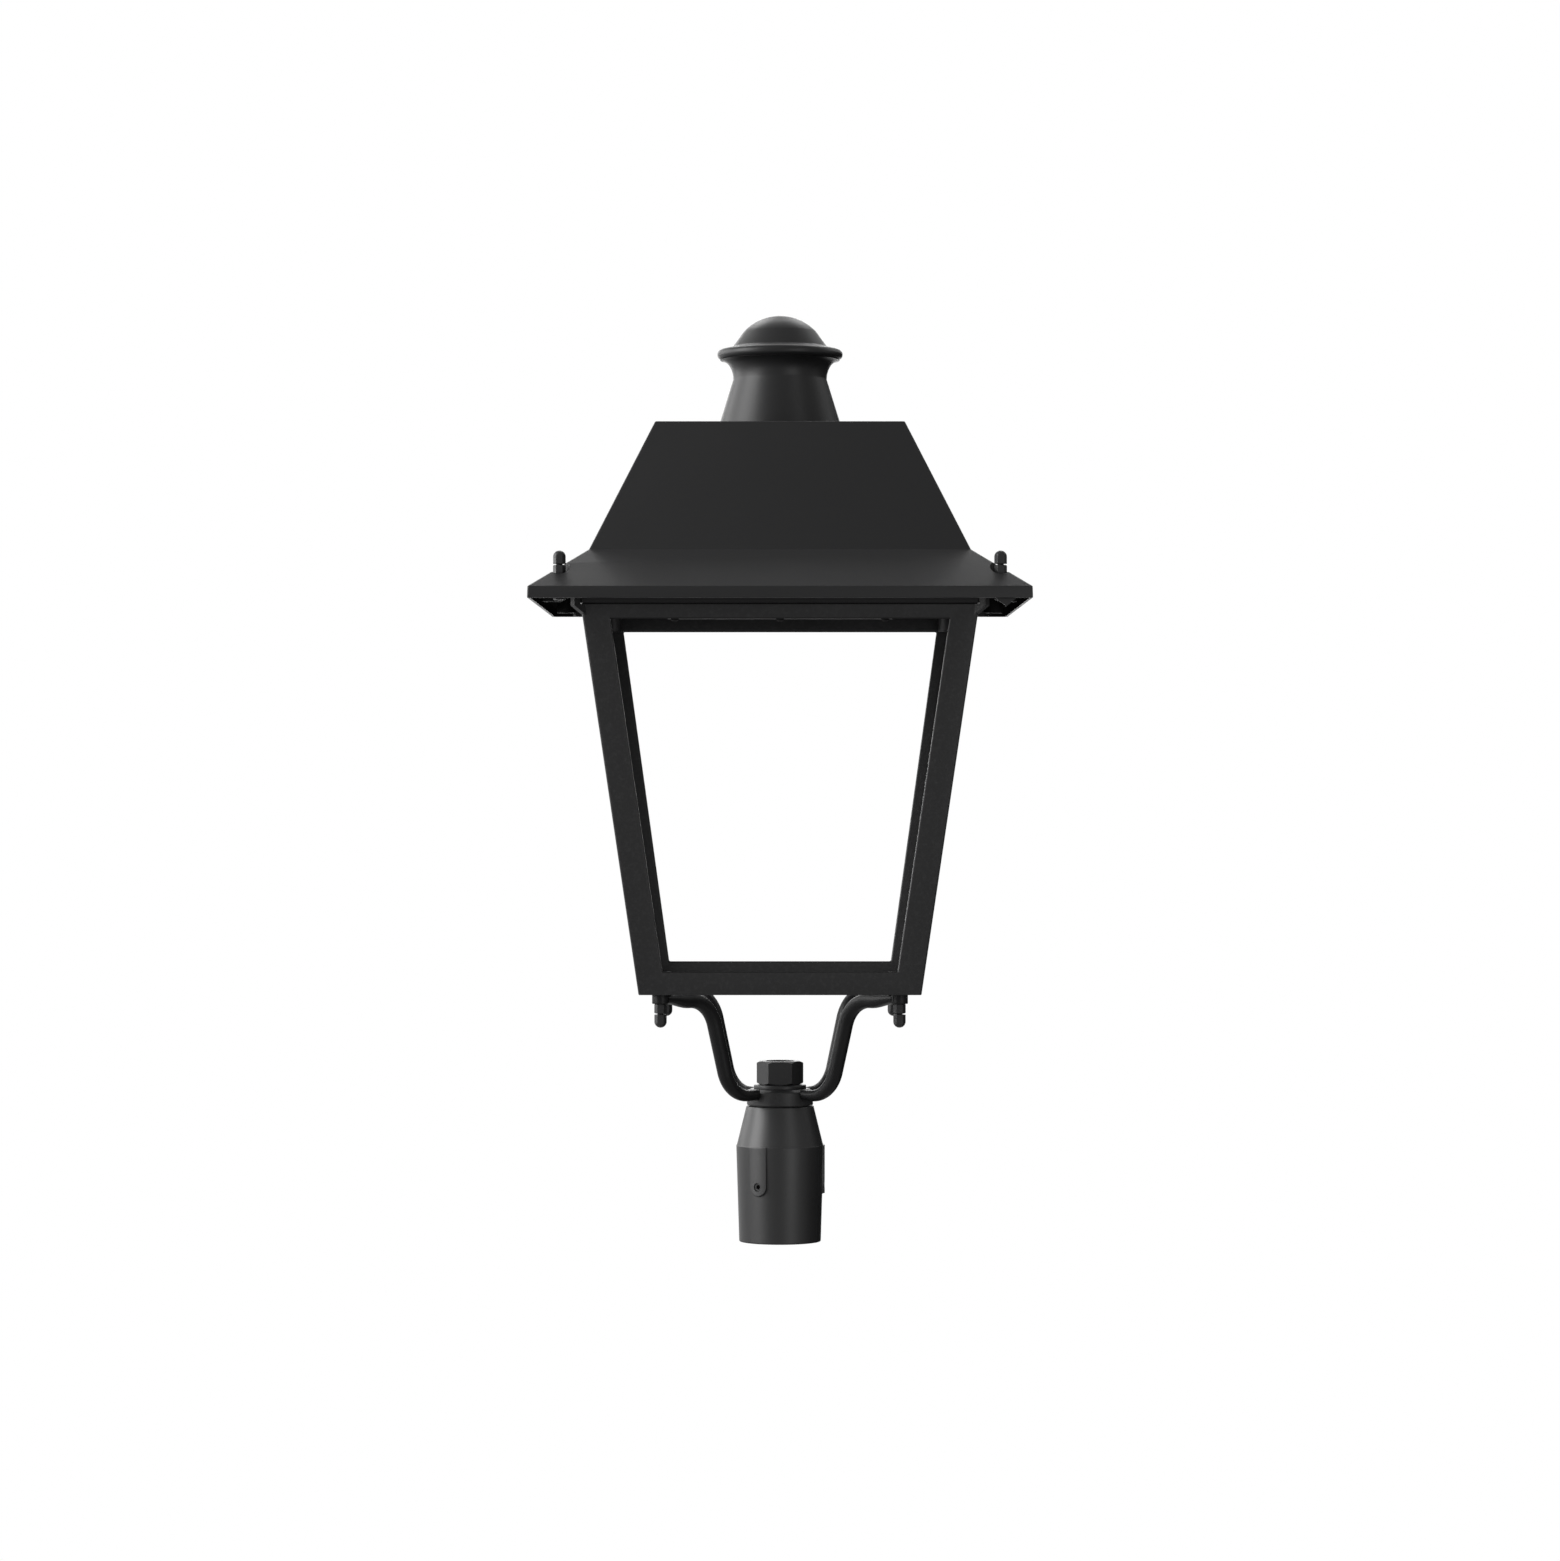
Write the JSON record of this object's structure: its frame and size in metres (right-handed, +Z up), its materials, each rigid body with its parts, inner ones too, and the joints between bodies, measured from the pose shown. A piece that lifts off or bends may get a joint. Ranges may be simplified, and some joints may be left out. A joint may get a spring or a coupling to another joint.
{
  "type": "led street light",
  "caption": "Four-sided post-top LED lantern: pyramid roof with a chimney, open tapered frame and a bent-arm fork on a tapered post socket.",
  "frame": {"origin": "centre of the socket's mouth, where the post goes in", "axes": "+Z up along the post's axis; the front, with the small pointed tab at its right, faces -Y; +X is to the right"},
  "size_m": [0.45, 0.45, 0.8675],
  "materials": {
    "black_casting": "satin black powder coat on cast aluminium",
    "black_sheet": "satin black powder coat on aluminium sheet",
    "black_hardware": "black coated steel",
    "zinc_steel": "zinc plated",
    "stainless_screws": "bright",
    "black_fibre": "matt",
    "seal_rubber": "matt",
    "sink_aluminium": "as extruded",
    "board_white": "white solder mask",
    "lens_clear": "clear moulded",
    "clear_glass": "clear toughened",
    "driver_case": "light grey",
    "gear_plastic": "light grey moulded",
    "gland_plastic": "dark grey moulded"
  },
  "bodies": {
    "socket": {"post_socket": "black_casting", "threaded_tube": "zinc_steel", "tube_back_nut": "zinc_steel", "turning_washer": "black_fibre", "clamp_washer": "black_hardware", "clamp_nut": "black_hardware"},
    "right_set_screw": {"set_screw_right": "black_hardware"},
    "back_set_screw": {"set_screw_back": "black_hardware"},
    "left_set_screw": {"set_screw_left": "black_hardware"},
    "lantern": {"fork_hub": "black_casting", "fork_arm_front_left": "black_casting", "fork_arm_front_right": "black_casting", "fork_arm_back_right": "black_casting", "fork_arm_back_left": "black_casting", "fork_bolts": "black_hardware", "fork_nuts": "black_hardware", "fork_cap_nuts": "black_hardware", "bottom_ring": "black_casting", "corner_post_front_left": "black_casting", "corner_post_front_left_side": "black_casting", "corner_post_front_right": "black_casting", "corner_post_front_right_side": "black_casting", "corner_post_back_right": "black_casting", "corner_post_back_right_side": "black_casting", "corner_post_back_left": "black_casting", "corner_post_back_left_side": "black_casting", "top_ring": "black_casting", "roof_studs": "black_hardware", "tray_gasket": "seal_rubber", "gear_tray": "black_sheet", "tray_screws": "stainless_screws", "heat_sink": "sink_aluminium", "led_board": "board_white", "lens_plate": "lens_clear", "glass_seal": "seal_rubber", "cover_glass": "clear_glass", "glass_bezel": "black_sheet", "bezel_screws": "black_hardware", "led_driver": "driver_case", "surge_protector": "gear_plastic", "terminal_block": "gear_plastic", "gear_screws": "stainless_screws", "cable_gland": "gland_plastic", "gland_locknut": "gland_plastic"},
    "roof": {"roof_shell": "black_sheet", "roof_hood_front": "black_sheet", "roof_hood_right": "black_sheet", "roof_hood_back": "black_sheet", "roof_hood_left": "black_sheet", "roof_top_plate": "black_sheet", "roof_nuts": "black_hardware", "roof_cap_nuts": "black_hardware", "chimney_neck": "black_sheet", "chimney_cap": "black_sheet", "tie_rod": "zinc_steel", "tie_rod_nut": "zinc_steel"}
  },
  "joints": [
    {"name": "head_turn", "type": "hinge", "parent": "socket", "child": "lantern", "pos_m": [0, 0, 0.1278], "axis": [0, 0, 1], "range_deg": [-180, 180]},
    {"name": "roof_lift", "type": "slide", "parent": "lantern", "child": "roof", "axis": [0, 0, 1], "range_m": [0, 0.18]},
    {"name": "right_screw_in", "type": "slide", "parent": "socket", "child": "right_set_screw", "axis": [-1, 0, 0], "range_m": [0, 0.006]},
    {"name": "back_screw_in", "type": "slide", "parent": "socket", "child": "back_set_screw", "axis": [0.5, -0.866, 0], "range_m": [0, 0.006]},
    {"name": "left_screw_in", "type": "slide", "parent": "socket", "child": "left_set_screw", "axis": [0.5, 0.866, 0], "range_m": [0, 0.006]}
  ]
}
